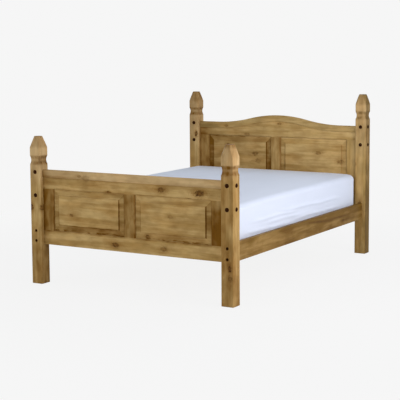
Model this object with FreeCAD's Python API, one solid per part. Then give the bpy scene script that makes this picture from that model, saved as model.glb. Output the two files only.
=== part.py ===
import FreeCAD, Part
import math
import os

# Pine double bed: four posts, panelled head and foot ends, bolted side rails, slats and a mattress.
# Millimetres. Origin on the floor at the middle of the bed, +X to the right seen from the foot,
# +Y towards the head end, +Z up.

V = FreeCAD.Vector
X_AXIS = V(1, 0, 0)
Y_AXIS = V(0, 1, 0)
Z_AXIS = V(0, 0, 1)

# Mattress
mattress_width = 1350.0
mattress_length = 1900.0
mattress_height = 260.0
mattress_side_clearance = 19.0
mattress_end_clearance = 18.0
mattress_head_gap = 2.0
mattress_corner_radius = 55.0
mattress_bottom_edge_radius = 30.0
mattress_top_edge_radius = 30.0
mattress_side_draw = 4.0
mattress_crown = 14.0
mattress_crown_reach = 330.0
mattress_wall = 14.0

# Corner posts
post_size = 82.0
post_arris = 3.0
head_post_height = 1170.0
foot_post_height = 958.0

# Finial cut on the top of each post
finial_waist_height = 60.0
finial_waist_inset = 6.8
finial_block_height = 51.0
finial_taper_height = 72.0
finial_taper_bulge = 2.7
finial_top_width = 48.0
finial_top_corner_cut = 13.0

# Side rails
side_rail_thickness = 27.0
side_rail_height = 116.0
side_rail_bottom = 257.0
side_rail_setback = 27.0

# Panelled ends: frame members
frame_thickness = 26.0
frame_edge_radius = 2.0
end_rail_bottom = 259.0
bottom_rail_height = 93.0
foot_opening_height = 269.0
foot_top_rail_height = 74.0
head_opening_height = 481.0
head_top_rail_height = 58.0
stile_width = 82.0
opening_chamfer = 5.0

# Panelled ends: cap mouldings
cap_depth = 36.0
foot_cap_height = 49.0
crest_cap_height = 46.0
cap_groove_depth = 8.0
cap_edge_radius = 11.0
cap_under_radius = 3.0
arch_rise = 62.5
arch_half_width = 520.0
arch_turn = 235.0
arch_offset = 14.0

# Panels
panel_groove_width = 8.0
panel_groove_depth = 10.0
panel_tongue = 8.5
panel_border = 40.0
panel_bevel_rise = 1.8
panel_field_step = 5.0

# Mortise and tenon joints of the end rails
tenon_thickness = 10.0
tenon_shoulder = 12.0
tenon_bolt_wall = 4.0

# Bed bolts, washers and barrel nuts
bolt_diameter = 8.0
bolt_spacing = 65.0
bolt_head_diameter = 13.0
bolt_head_height = 8.0
bolt_socket_width = 6.0
bolt_socket_depth = 4.0
bolt_counterbore_diameter = 18.0
bolt_counterbore_depth = 14.0
bolt_tip = 2.0
washer_diameter = 17.0
washer_thickness = 1.6
barrel_nut_diameter = 12.0
barrel_nut_length = 20.0
barrel_nut_setback = 35.0
dowel_diameter = 10.0
dowel_length = 50.0

# Iron studs
stud_diameter = 26.0
stud_rim = 1.4
stud_dome = 5.6
stud_shank_diameter = 5.0
stud_shank_length = 20.0
foot_left_stud_heights = (578.0, 729.0)
foot_right_stud_heights = (577.0, 718.0)
head_left_stud_heights = (791.0, 926.0)
head_right_stud_heights = (803.0, 933.0)

# Slatted base
slat_count = 14
slat_width = 70.0
slat_thickness = 18.0
slat_end_clearance = 3.0
slat_edge_radius = 3.0
slat_drop = 32.0
ledger_thickness = 25.0
ledger_height = 35.0
ledger_nut_gap = 6.0
centre_rail_width = 45.0
centre_rail_height = 60.0
hanger_sheet = 2.5
hanger_seat_depth = 40.0
hanger_cheek_height = 42.0
hanger_wing = 22.0
hanger_screw_spacing = 20.0
hanger_screw_drop = 12.0

# Wood screws: shank diameter, head diameter and length
screw_diameter = 4.0
screw_head_diameter = 8.0
screw_head_height = 2.6
slat_screw_length = 32.0
ledger_screw_length = 38.0
hanger_screw_length = 18.0

# Clearances
joint_clearance = 0.15
hole_clearance = 0.1
depth_clearance = 1.0
bolt_hole_clearance = 0.5

# Places worked out from the sizes above
bay_half_length = (mattress_length + mattress_end_clearance) / 2
mattress_centre_y = bay_half_length - mattress_head_gap - mattress_length / 2
rail_inner_x = mattress_width / 2 + mattress_side_clearance
rail_outer_x = rail_inner_x + side_rail_thickness
rail_centre_x = rail_inner_x + side_rail_thickness / 2
frame_half_width = rail_outer_x + side_rail_setback
post_half = post_size / 2
post_centre_x = frame_half_width - post_half
post_centre_y = bay_half_length + post_half
post_inner_x = frame_half_width - post_size
side_rail_top = side_rail_bottom + side_rail_height
side_rail_middle = side_rail_bottom + side_rail_height / 2
bolt_heights = (side_rail_middle - bolt_spacing / 2, side_rail_middle + bolt_spacing / 2)
bolt_hole_radius = bolt_diameter / 2 + bolt_hole_clearance
tenon_length = rail_centre_x - bolt_hole_radius - tenon_bolt_wall - post_inner_x
opening_bottom = end_rail_bottom + bottom_rail_height
opening_width = (2 * post_inner_x - 3 * stile_width) / 2
slat_top = side_rail_top - slat_drop
ledger_top = slat_top - slat_thickness
ledger_half_length = bay_half_length - barrel_nut_setback - barrel_nut_diameter / 2 - ledger_nut_gap
ledger_centre_x = rail_inner_x - ledger_thickness / 2
slat_half_length = rail_inner_x - slat_end_clearance
slat_pitch = (2 * ledger_half_length - slat_width) / (slat_count - 1)
slat_places = [(i - (slat_count - 1) / 2) * slat_pitch for i in range(slat_count)]
centre_rail_bottom = ledger_top - centre_rail_height
frame_half = frame_thickness / 2
board_inner_y = post_centre_y - frame_half


# Shapes used by many pieces

def box(low, high):
    size = V(*high) - V(*low)
    return Part.makeBox(size.x, size.y, size.z, V(*low))


def rod(radius, start, direction, length):
    return Part.makeCylinder(radius, length, start, direction)


def face_of(edges):
    return Part.Face(Part.Wire(Part.__sortEdges__(edges)))


def polygon(points):
    return Part.Face(Part.makePolygon(points + points[:1]))


def rounded_outline(half_a, half_b, radius, place):
    """Edges of a rectangle with round corners; place turns its two coordinates into a point."""
    edges = []
    bend = radius * (1 - math.sqrt(0.5))
    corners = [(1, 1), (-1, 1), (-1, -1), (1, -1)]
    for turn, (a, b) in enumerate(corners):
        along_a = place(a * (half_a - radius), b * half_b)
        along_b = place(a * half_a, b * (half_b - radius))
        middle = place(a * (half_a - bend), b * (half_b - bend))
        edges.append(Part.Arc(along_a, middle, along_b).toShape())
        next_a, next_b = corners[(turn + 1) % 4]
        if b == next_b:
            far = place(next_a * (half_a - radius), b * half_b)
            edges.append(Part.makeLine(along_a, far))
        else:
            far = place(a * half_a, next_b * (half_b - radius))
            edges.append(Part.makeLine(along_b, far))
    return edges


def cross_bar(low, high, radius):
    """A bar along X from corner to corner, its long edges rounded."""
    low = V(*low)
    size = V(*high) - low
    middle = low + size / 2
    edges = rounded_outline(size.y / 2, size.z / 2, radius, lambda a, b: V(low.x, middle.y + a, middle.z + b))
    return face_of(edges).extrude(X_AXIS * size.x)


def long_bar(low, high, radius):
    """A bar along Y from corner to corner, its long edges rounded."""
    low = V(*low)
    size = V(*high) - low
    middle = low + size / 2
    edges = rounded_outline(size.x / 2, size.z / 2, radius, lambda a, b: V(middle.x + a, low.y, middle.z + b))
    return face_of(edges).extrude(Y_AXIS * size.y)


def frustum(half_x_near, half_z_near, near_y, half_x_far, half_z_far, far_y, centre):
    """A block whose rectangle changes size evenly from one depth to another."""
    rings = []
    signs = ((-1, -1), (1, -1), (1, 1), (-1, 1))
    for half_x, half_z, y in ((half_x_near, half_z_near, near_y), (half_x_far, half_z_far, far_y)):
        corners = [V(centre.x + a * half_x, y, centre.z + b * half_z) for a, b in signs]
        rings.append(Part.makePolygon(corners + corners[:1]))
    return Part.makeLoft(rings, True, True)


def screw(head, direction, length, gap=0.0):
    """A countersunk screw with its head's top at a point; gap swells it into the hole that holds it."""
    cone = Part.makeCone(
        screw_head_diameter / 2 + gap, screw_diameter / 2 + gap, screw_head_height, head, direction)
    return cone.fuse(rod(screw_diameter / 2 + gap, head, direction, length + gap)).removeSplitter()


def save(node, shape):
    solids = shape if isinstance(shape, list) else [shape]
    for solid in solids:
        if not solid.isValid() or len(solid.Solids) != 1:
            raise ValueError(f"{node} holds a shape that is not one sound solid")
    pieces = [solid.Solids[0] for solid in solids]
    whole = pieces[0] if len(pieces) == 1 else Part.makeCompound(pieces)
    whole.exportStep(f"parts/{node}.step")


# Corner posts

def post_profile(height):
    """The right-hand edge of a post's side view in runs from the floor up: two points a line, three an arc."""
    shoulder = height - finial_waist_height - finial_block_height - finial_taper_height
    waist_top = shoulder + finial_waist_height
    taper_foot = waist_top + finial_block_height
    top = finial_top_width / 2
    waist = (post_half - finial_waist_inset, (shoulder + waist_top) / 2)
    bulge = ((post_half + top) / 2 + finial_taper_bulge, (taper_foot + height) / 2)
    return [
        [(post_half, 0), (post_half, shoulder)],
        [(post_half, shoulder), waist, (post_half, waist_top)],
        [(post_half, waist_top), (post_half, taper_foot)],
        [(post_half, taper_foot), bulge, (top, height)],
    ]


def post_slab(height, place, through):
    """The post's side view pushed through along one direction."""
    edges = []
    for side in (1, -1):
        for run in post_profile(height):
            points = [place(side * a, z) for a, z in run]
            edges.append(Part.makeLine(*points) if len(points) == 2 else Part.Arc(*points).toShape())
    top = finial_top_width / 2
    edges.append(Part.makeLine(place(-post_half, 0), place(post_half, 0)))
    edges.append(Part.makeLine(place(-top, height), place(top, height)))
    return face_of(edges).extrude(through)


def corner_slab(height, turn):
    """Trims two opposite corners: a small arris up the shaft, a growing facet up the taper."""
    diagonal = math.sqrt(0.5)
    shaft = (2 * post_half - post_arris) * diagonal
    top = (finial_top_width - finial_top_corner_cut) * diagonal
    taper_foot = height - finial_taper_height
    outline = [V(-shaft, 0, 0), V(shaft, 0, 0), V(shaft, 0, taper_foot), V(top, 0, height),
               V(-top, 0, height), V(-shaft, 0, taper_foot)]
    slab = polygon(outline).extrude(Y_AXIS * 2 * post_size)
    slab.translate(V(0, -post_size, 0))
    slab.rotate(V(0, 0, 0), Z_AXIS, turn)
    return slab


def post_blank(height):
    across = post_slab(height, lambda a, z: V(a, -post_half, z), Y_AXIS * post_size)
    along = post_slab(height, lambda a, z: V(-post_half, a, z), X_AXIS * post_size)
    return across.common(along).common(corner_slab(height, 45)).common(corner_slab(height, -45))


def post(side, end, height, mortises, heights_of_studs):
    """One post in place, with its mortises, bolt holes, dowel hole and stud holes."""
    blank = post_blank(height)
    blank.translate(V(side * post_centre_x, end * post_centre_y, 0))
    tools = [end_tenon(side, end, low, high, joint_clearance, depth_clearance) for low, high in mortises]
    for z in bolt_heights:
        outer = V(side * rail_centre_x, end * (bay_half_length + post_size), z)
        inward = Y_AXIS * -end
        tools.append(rod(bolt_hole_radius, outer, inward, post_size))
        tools.append(rod(bolt_counterbore_diameter / 2, outer, inward, bolt_counterbore_depth))
    tools.append(dowel(side, end, hole_clearance))
    stud_hole_radius = stud_shank_diameter / 2 + hole_clearance
    stud_hole_depth = stud_shank_length + depth_clearance
    for z in heights_of_studs:
        for seat, inward in stud_seats(side, end, z):
            tools.append(rod(stud_hole_radius, seat, inward, stud_hole_depth))
    return blank.cut(tools)


def stud_seats(side, end, z):
    """Where a post's two studs of one height sit: on the foot-facing face and on the outer face."""
    foot_face = V(side * post_centre_x, end * post_centre_y - post_half, z)
    outer_face = V(side * frame_half_width, end * post_centre_y, z)
    return [(foot_face, Y_AXIS), (outer_face, X_AXIS * -side)]


def stud(seat, inward):
    """A domed iron head on the face and a shank in the post."""
    radius = stud_diameter / 2
    dome_radius = (radius ** 2 + stud_dome ** 2) / (2 * stud_dome)
    half_angle = math.asin(radius / dome_radius) / 2
    crest = stud_rim + stud_dome
    middle = V(dome_radius * math.sin(half_angle), 0, crest - dome_radius * (1 - math.cos(half_angle)))
    edges = [
        Part.makeLine(V(0, 0, 0), V(radius, 0, 0)),
        Part.makeLine(V(radius, 0, 0), V(radius, 0, stud_rim)),
        Part.Arc(V(radius, 0, stud_rim), middle, V(0, 0, crest)).toShape(),
        Part.makeLine(V(0, 0, crest), V(0, 0, 0)),
    ]
    head = face_of(edges).revolve(V(0, 0, 0), Z_AXIS, 360)
    whole = head.fuse(rod(stud_shank_diameter / 2, V(0, 0, 0), -Z_AXIS, stud_shank_length))
    whole.Placement = FreeCAD.Placement(seat, FreeCAD.Rotation(Z_AXIS, -inward))
    return whole


# Panelled ends: members are made about the middle plane of the board, then moved to their end of the bed

def end_tenon(side, end, low, high, gap=0.0, deeper=0.0):
    """A rail's tenon in a post, or with a gap the mortise that takes it."""
    half = tenon_thickness / 2 + gap
    inner = side * post_inner_x
    outer = side * (post_inner_x + tenon_length + deeper)
    low_z, high_z = low + tenon_shoulder - gap, high - tenon_shoulder + gap
    middle = end * post_centre_y
    return box((min(inner, outer), middle - half, low_z), (max(inner, outer), middle + half, high_z))


def opening_centres(height):
    reach = (stile_width + opening_width) / 2
    return [V(side * reach, 0, opening_bottom + height / 2) for side in (-1, 1)]


def opening_bevels(height):
    """Mitred chamfers round the two openings, cut from the front of rails and stiles together."""
    spare = 1.0
    half_x, half_z = opening_width / 2, height / 2
    front = -frame_half - spare
    near = opening_chamfer + spare
    back = -frame_half + opening_chamfer
    return [frustum(half_x + near, half_z + near, front, half_x, half_z, back, centre)
            for centre in opening_centres(height)]


def rail_groove(edge_z, direction):
    """The panel groove along a rail's edge, from post to post."""
    half = panel_groove_width / 2
    far_z = edge_z + direction * panel_groove_depth
    return box((-post_inner_x, -half, min(edge_z, far_z)), (post_inner_x, half, max(edge_z, far_z)))


def bottom_rail(height, end):
    low, high = end_rail_bottom, opening_bottom
    bar = cross_bar((-post_inner_x, -frame_half, low), (post_inner_x, frame_half, high), frame_edge_radius)
    square_edge = box(
        (-post_inner_x, -frame_half, high - 2 * frame_edge_radius), (post_inner_x, frame_half, high))
    bar = bar.fuse(square_edge).removeSplitter()
    bar = bar.cut([rail_groove(high, -1)] + opening_bevels(height))
    bar.translate(V(0, end * post_centre_y, 0))
    bar = bar.fuse([end_tenon(side, end, low, high) for side in (-1, 1)]).removeSplitter()
    return bar.cut(hanger_screws(end, hole_clearance))


def stile(x, height, grooved_sides, end):
    low, high = opening_bottom, opening_bottom + height
    half = stile_width / 2
    bar = box((x - half, -frame_half, low), (x + half, frame_half, high))
    stub_half = panel_groove_width / 2 - joint_clearance
    stub_reach = panel_groove_depth - depth_clearance
    stub = box((x - half, -stub_half, low - stub_reach), (x + half, stub_half, high + stub_reach))
    tools = opening_bevels(height)
    for side in grooved_sides:
        edge, floor = x + side * half, x + side * (half - panel_groove_depth)
        groove_half = panel_groove_width / 2
        tools.append(box((min(edge, floor), -groove_half, low - panel_groove_depth),
                         (max(edge, floor), groove_half, high + panel_groove_depth)))
    bar = bar.fuse(stub).cut(tools).removeSplitter()
    bar.translate(V(0, end * post_centre_y, 0))
    return bar


def panel(centre, height, end):
    """A raised-and-fielded panel: tongue, wide bevel, step and flat field towards the foot."""
    half_x, half_z = opening_width / 2, height / 2
    tongue_half = panel_groove_width / 2 - joint_clearance
    slab = box((centre.x - half_x - panel_tongue, -tongue_half, centre.z - half_z - panel_tongue),
               (centre.x + half_x + panel_tongue, tongue_half, centre.z + half_z + panel_tongue))
    bevel_front = -tongue_half - panel_bevel_rise
    field_x, field_z = half_x - panel_border, half_z - panel_border
    bevel = frustum(half_x, half_z, -tongue_half, field_x, field_z, bevel_front, centre)
    field_front = bevel_front - panel_field_step
    field = box(
        (centre.x - field_x, field_front, centre.z - field_z), (centre.x + field_x, 0, centre.z + field_z))
    board = slab.fuse([bevel, field]).removeSplitter()
    board.translate(V(0, end * post_centre_y, 0))
    return board


def foot_top_rail():
    low = opening_bottom + foot_opening_height
    high = low + foot_top_rail_height
    tongue_top = high + cap_groove_depth - joint_clearance
    bar = box((-post_inner_x, -frame_half, low), (post_inner_x, frame_half, tongue_top))
    bar = bar.cut([rail_groove(low, 1)] + opening_bevels(foot_opening_height))
    bar.translate(V(0, -post_centre_y, 0))
    return bar.fuse([end_tenon(side, -1, low, high) for side in (-1, 1)]).removeSplitter()


def foot_cap():
    low = opening_bottom + foot_opening_height + foot_top_rail_height
    high = low + foot_cap_height
    half = cap_depth / 2
    bar = cross_bar((-post_inner_x, -half, low), (post_inner_x, half, high), cap_edge_radius)
    shoulder = high - cap_edge_radius
    lower = cross_bar((-post_inner_x, -half, low), (post_inner_x, half, shoulder), cap_under_radius)
    groove_half = frame_half + joint_clearance
    groove = box((-post_inner_x, -groove_half, low), (post_inner_x, groove_half, low + cap_groove_depth))
    bar = bar.fuse(lower).removeSplitter().cut(groove)
    bar.translate(V(0, -post_centre_y, 0))
    return bar


def arch_line(drop, y):
    """Edges of the crest, or of the line that runs a steady drop below it, from post to post."""
    base = opening_bottom + head_opening_height + head_top_rail_height + crest_cap_height
    lean = 2 * math.atan(arch_rise / arch_half_width)
    crown_radius = arch_turn / math.sin(lean)
    foot_radius = (arch_half_width - arch_turn) / math.sin(lean)
    crown_centre = base + arch_rise - crown_radius
    foot_centre = base + foot_radius

    def crown_point(angle):
        reach = crown_radius - drop
        return V(arch_offset + reach * math.sin(angle), y, crown_centre + reach * math.cos(angle))

    def foot_point(side, angle):
        reach = foot_radius + drop
        x = arch_offset + side * (arch_half_width - reach * math.sin(angle))
        return V(x, y, foot_centre - reach * math.cos(angle))

    edges = [Part.Arc(crown_point(-lean), crown_point(0), crown_point(lean)).toShape()]
    for side in (-1, 1):
        bend = [foot_point(side, angle) for angle in (0, lean / 2, lean)]
        edges.append(Part.Arc(*bend).toShape())
        edges.append(Part.makeLine(bend[0], V(side * post_inner_x, y, base - drop)))
    return edges, base - drop


def arch_band(upper_drop, lower_drop, half_depth):
    """A band between two drops below the crest, through the board's depth."""
    upper, upper_z = arch_line(upper_drop, -half_depth)
    lower, lower_z = arch_line(lower_drop, -half_depth)
    ends = [Part.makeLine(V(x, -half_depth, upper_z), V(x, -half_depth, lower_z))
            for x in (-post_inner_x, post_inner_x)]
    return face_of(upper + lower + ends).extrude(Y_AXIS * 2 * half_depth)


def head_top_rail():
    low = opening_bottom + head_opening_height
    high = low + head_top_rail_height
    upper, upper_z = arch_line(crest_cap_height - cap_groove_depth + joint_clearance, -frame_half)
    corners = [V(-post_inner_x, -frame_half, upper_z), V(-post_inner_x, -frame_half, low),
               V(post_inner_x, -frame_half, low), V(post_inner_x, -frame_half, upper_z)]
    sides = [Part.makeLine(p, q) for p, q in zip(corners, corners[1:])]
    bar = face_of(upper + sides).extrude(Y_AXIS * frame_thickness)
    bar = bar.cut([rail_groove(low, 1)] + opening_bevels(head_opening_height))
    bar.translate(V(0, post_centre_y, 0))
    return bar.fuse([end_tenon(side, 1, low, high) for side in (-1, 1)]).removeSplitter()


def head_crest_cap():
    half = cap_depth / 2
    band = arch_band(0, crest_cap_height, half)
    rounded = band.makeFillet(cap_edge_radius, crest_edges(band, 0, half))
    rounded = rounded.makeFillet(cap_under_radius, crest_edges(rounded, crest_cap_height, half))
    groove = arch_band(crest_cap_height - cap_groove_depth, crest_cap_height, frame_half + joint_clearance)
    bar = rounded.cut(groove)
    bar.translate(V(0, post_centre_y, 0))
    return bar


def crest_edges(shape, drop, half_depth):
    """The long edges of a band that lie on the line at one drop below the crest."""
    found = []
    for y in (-half_depth, half_depth):
        line = Part.Wire(Part.__sortEdges__(arch_line(drop, y)[0]))
        for edge in shape.Edges:
            middle = edge.valueAt((edge.FirstParameter + edge.LastParameter) / 2)
            if line.distToShape(Part.Vertex(middle))[0] < joint_clearance:
                found.append(edge)
    return found


# Side rails and their bolted joints

def bolt_seat(side, end, z):
    """Where a bolt's washer lies on the floor of its counterbore, and the way the bolt points."""
    outer_y = end * (bay_half_length + post_size - bolt_counterbore_depth)
    return V(side * rail_centre_x, outer_y, z), Y_AXIS * -end


def bolt_places():
    return [(side, end, z) for end in (-1, 1) for side in (-1, 1) for z in bolt_heights]


def bed_bolt(side, end, z):
    seat, inward = bolt_seat(side, end, z)
    under_head = seat - inward * washer_thickness
    reach = (washer_thickness + post_size - bolt_counterbore_depth + barrel_nut_setback
             + barrel_nut_diameter / 2 + bolt_tip)
    shank = rod(bolt_diameter / 2, under_head, inward, reach)
    head = rod(bolt_head_diameter / 2, under_head, -inward, bolt_head_height)
    corner = bolt_socket_width / math.sqrt(3)
    top_y = under_head.y - inward.y * bolt_head_height
    ring = [V(under_head.x + corner * math.cos(math.radians(60 * i)), top_y,
              under_head.z + corner * math.sin(math.radians(60 * i))) for i in range(6)]
    socket = polygon(ring).extrude(inward * bolt_socket_depth)
    return shank.fuse(head).cut(socket).removeSplitter()


def washer(side, end, z):
    seat, inward = bolt_seat(side, end, z)
    disc = rod(washer_diameter / 2, seat, -inward, washer_thickness)
    return disc.cut(rod(bolt_diameter / 2 + hole_clearance, seat, -inward, washer_thickness))


def nut_axis(side, end, z):
    """The barrel nut's inner end and its length's direction, across the rail."""
    inner = V(side * (rail_centre_x - barrel_nut_length / 2), end * (bay_half_length - barrel_nut_setback), z)
    return inner, X_AXIS * side


def barrel_nut(side, end, z):
    inner, across = nut_axis(side, end, z)
    seat, inward = bolt_seat(side, end, z)
    body = rod(barrel_nut_diameter / 2, inner, across, barrel_nut_length)
    thread = rod(bolt_diameter / 2 + hole_clearance, V(seat.x, inner.y + inward.y * -barrel_nut_diameter, z),
                 inward, 2 * barrel_nut_diameter)
    return body.cut(thread)


def dowel(side, end, gap=0.0):
    """A locating dowel, half in the post and half in the rail's end, or with a gap its hole."""
    length = dowel_length + (2 * depth_clearance if gap else 0)
    start = V(side * rail_centre_x, end * bay_half_length - length / 2, side_rail_middle)
    return rod(dowel_diameter / 2 + gap, start, Y_AXIS, length)


def side_rail(side):
    x = sorted((side * rail_inner_x, side * rail_outer_x))
    bar = long_bar(
        (x[0], -bay_half_length, side_rail_bottom), (x[1], bay_half_length, side_rail_top), frame_edge_radius)
    tools = [dowel(side, end, hole_clearance) for end in (-1, 1)]
    bore = barrel_nut_setback + barrel_nut_diameter / 2 + bolt_tip + depth_clearance
    for end in (-1, 1):
        for z in bolt_heights:
            rail_end = V(side * rail_centre_x, end * bay_half_length, z)
            tools.append(rod(bolt_hole_radius, rail_end, Y_AXIS * -end, bore))
            inner, across = nut_axis(side, end, z)
            mouth = V(side * rail_inner_x, inner.y, z)
            depth = (side_rail_thickness + barrel_nut_length) / 2 + hole_clearance
            tools.append(rod(barrel_nut_diameter / 2 + hole_clearance, mouth, across, depth))
    return bar.cut(tools + ledger_screws(side, hole_clearance))


# Slatted base

def ledger_screws(side, gap=0.0):
    """Screws through the ledger into the rail, one in every second space between slats."""
    head_x = side * (rail_inner_x - ledger_thickness)
    z = ledger_top - ledger_height / 2
    spaces = [(a + b) / 2 for a, b in zip(slat_places, slat_places[1:])]
    return [screw(V(head_x, y, z), X_AXIS * side, ledger_screw_length, gap) for y in spaces[::2]]


def slat_screws(slats, sides, gap=0.0):
    return [screw(V(side * ledger_centre_x, y, slat_top), -Z_AXIS, slat_screw_length, gap)
            for y in slats for side in sides]


def slat_ledger(side):
    x = sorted((side * (rail_inner_x - ledger_thickness), side * rail_inner_x))
    bar = box((x[0], -ledger_half_length, ledger_top - ledger_height), (x[1], ledger_half_length, ledger_top))
    return bar.cut(ledger_screws(side, hole_clearance) + slat_screws(slat_places, (side,), hole_clearance))


def slat(y):
    bar = cross_bar(
        (-slat_half_length, y - slat_width / 2, ledger_top), (slat_half_length, y + slat_width / 2, slat_top),
        slat_edge_radius)
    return bar.cut(slat_screws((y,), (-1, 1), hole_clearance))


def centre_rail():
    half_length = board_inner_y - hanger_sheet - depth_clearance
    half_width = centre_rail_width / 2
    low = (-half_width, -half_length, centre_rail_bottom)
    return long_bar(low, (half_width, half_length, ledger_top), frame_edge_radius)


def hanger_screws(end, gap=0.0):
    """Four screws through a hanger's wings into the end's bottom rail."""
    reach = centre_rail_width / 2 + joint_clearance + hanger_sheet + hanger_wing / 2
    face_y = end * (board_inner_y - hanger_sheet)
    heights = [ledger_top - hanger_screw_drop, ledger_top - hanger_screw_drop - hanger_screw_spacing]
    places = [V(x, face_y, z) for x in (-reach, reach) for z in heights]
    return [screw(place, Y_AXIS * end, hanger_screw_length, gap) for place in places]


def centre_rail_hanger(end):
    """A pressed steel hanger: back plate with two wings, two cheeks and a seat under the rail's end."""
    inner = centre_rail_width / 2 + joint_clearance
    outer = inner + hanger_sheet
    wing = outer + hanger_wing
    low = centre_rail_bottom - hanger_sheet
    back, front, lip = (end * (board_inner_y - d) for d in (0, hanger_sheet, hanger_seat_depth))
    plate = box((-wing, min(back, front), low), (wing, max(back, front), ledger_top))
    near, far = sorted((front, lip))
    seat = box((-outer, near, low), (outer, far, centre_rail_bottom))
    cheek_top = centre_rail_bottom + hanger_cheek_height
    cheeks = [box((x, near, low), (x + hanger_sheet, far, cheek_top)) for x in (-outer, inner)]
    return plate.fuse([seat] + cheeks).removeSplitter().cut(hanger_screws(end, hole_clearance))


# Mattress

def mattress_form(inset):
    """A soft block in rings: flat base, rounded edges, sides drawn in at the edges and a crowned top."""
    half_x, half_y = mattress_width / 2 - inset, mattress_length / 2 - inset
    low, high = slat_top + inset, slat_top + mattress_height - inset
    bottom_radius = mattress_bottom_edge_radius - inset / 2
    top_radius = mattress_top_edge_radius - inset / 2
    edge_top = high - mattress_crown
    bends = [math.radians(angle) for angle in (0, 30, 60, 90)]
    rings = [(low + bottom_radius * (1 - math.cos(t)), bottom_radius * (1 - math.sin(t))) for t in bends]
    rings.append(((low + high) / 2, -mattress_side_draw))
    rings += [(edge_top - top_radius * (1 - math.cos(t)), top_radius * (1 - math.sin(t)))
              for t in reversed(bends)]
    crown_steps = (0.4, 0.8, 1.0)
    rings += [(edge_top + mattress_crown * (1 - (1 - s) ** 2), top_radius + mattress_crown_reach * s)
              for s in crown_steps]
    wires = []
    for z, pull in rings:
        pull += mattress_side_draw
        edges = rounded_outline(
            half_x - pull, half_y - pull, mattress_corner_radius, lambda a, b: V(a, mattress_centre_y + b, z))
        wires.append(Part.Wire(Part.__sortEdges__(edges)))
    return Part.makeLoft(wires, True, True)


def mattress():
    """A closed shell round a light core, so that its weight is that of a real mattress."""
    return mattress_form(0).cut(mattress_form(mattress_wall))


def build_end(name, end, opening_height, pieces):
    """The frame members and panels that the head and the foot share, and the end's own top pieces."""
    side_x = post_inner_x - stile_width / 2
    save(f"{name}_bottom_rail", bottom_rail(opening_height, end))
    save(f"{name}_stile_left", stile(-side_x, opening_height, (1,), end))
    save(f"{name}_stile_middle", stile(0, opening_height, (-1, 1), end))
    save(f"{name}_stile_right", stile(side_x, opening_height, (-1,), end))
    for side_name, centre in zip(("left", "right"), opening_centres(opening_height)):
        save(f"{name}_panel_{side_name}", panel(centre, opening_height, end))
    for piece_name, shape in pieces.items():
        save(f"{name}_{piece_name}", shape)


os.makedirs("parts", exist_ok=True)

bottom_span = (end_rail_bottom, opening_bottom)
foot_rail_low = opening_bottom + foot_opening_height
head_rail_low = opening_bottom + head_opening_height
ends = {
    "foot": (-1, foot_post_height, (foot_rail_low, foot_rail_low + foot_top_rail_height)),
    "head": (1, head_post_height, (head_rail_low, head_rail_low + head_top_rail_height)),
}
sides = {"left": -1, "right": 1}
stud_heights = {
    (-1, -1): foot_left_stud_heights, (-1, 1): foot_right_stud_heights,
    (1, -1): head_left_stud_heights, (1, 1): head_right_stud_heights,
}

for end_name, (end, height, top_span) in ends.items():
    for side_name, side in sides.items():
        blank = post(side, end, height, (bottom_span, top_span), stud_heights[end, side])
        save(f"{end_name}_post_{side_name}", blank)

build_end("foot", -1, foot_opening_height, {"top_rail": foot_top_rail(), "cap": foot_cap()})
build_end("head", 1, head_opening_height, {"top_rail": head_top_rail(), "crest_cap": head_crest_cap()})

for side_name, side in sides.items():
    save(f"side_rail_{side_name}", side_rail(side))
    save(f"slat_ledger_{side_name}", slat_ledger(side))

for number, place in enumerate(slat_places, 1):
    save(f"slat_{number:02d}", slat(place))

save("centre_rail", centre_rail())
for end_name, (end, *_) in ends.items():
    save(f"centre_rail_hanger_{end_name}", centre_rail_hanger(end))

save("bed_bolts", [bed_bolt(*place) for place in bolt_places()])
save("bolt_washers", [washer(*place) for place in bolt_places()])
save("barrel_nuts", [barrel_nut(*place) for place in bolt_places()])
save("rail_dowels", [dowel(side, end) for end in (-1, 1) for side in (-1, 1)])
save("iron_studs", [
    stud(seat, inward)
    for (end, side), heights in stud_heights.items()
    for z in heights for seat, inward in stud_seats(side, end, z)])
save("ledger_screws", [item for side in (-1, 1) for item in ledger_screws(side)])
save("slat_screws", slat_screws(slat_places, (-1, 1)))
save("hanger_screws", [item for end in (-1, 1) for item in hanger_screws(end)])
save("mattress", mattress())
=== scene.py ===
import math
from collections import namedtuple
from functools import reduce
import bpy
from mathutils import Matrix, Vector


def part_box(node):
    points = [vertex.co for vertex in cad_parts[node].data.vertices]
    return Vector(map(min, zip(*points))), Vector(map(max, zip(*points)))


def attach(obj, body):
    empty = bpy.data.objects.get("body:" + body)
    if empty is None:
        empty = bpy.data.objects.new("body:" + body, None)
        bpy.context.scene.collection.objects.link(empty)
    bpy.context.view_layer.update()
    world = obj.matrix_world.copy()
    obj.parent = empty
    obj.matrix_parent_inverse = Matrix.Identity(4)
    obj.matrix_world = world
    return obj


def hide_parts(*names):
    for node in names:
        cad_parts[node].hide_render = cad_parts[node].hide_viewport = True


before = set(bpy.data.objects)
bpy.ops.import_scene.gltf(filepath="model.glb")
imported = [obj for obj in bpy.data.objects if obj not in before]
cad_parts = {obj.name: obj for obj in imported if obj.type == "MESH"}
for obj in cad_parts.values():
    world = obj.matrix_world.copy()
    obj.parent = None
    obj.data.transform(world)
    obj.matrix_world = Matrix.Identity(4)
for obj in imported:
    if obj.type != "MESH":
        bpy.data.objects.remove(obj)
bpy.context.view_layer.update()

from types import SimpleNamespace

import bmesh
import bpy
from mathutils import Matrix, Vector, noise

bl_info = {
    "name": "Waxed Pine Bed",
    "version": (1, 0, 0),
    "blender": (4, 5, 0),
    "location": "View3D > Sidebar > Pine Bed",
    "description": "Waxes the boards of a panelled pine bed, blackens its studs and makes up its mattress",
    "category": "Object",
}

AXES = "xyz"

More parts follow.
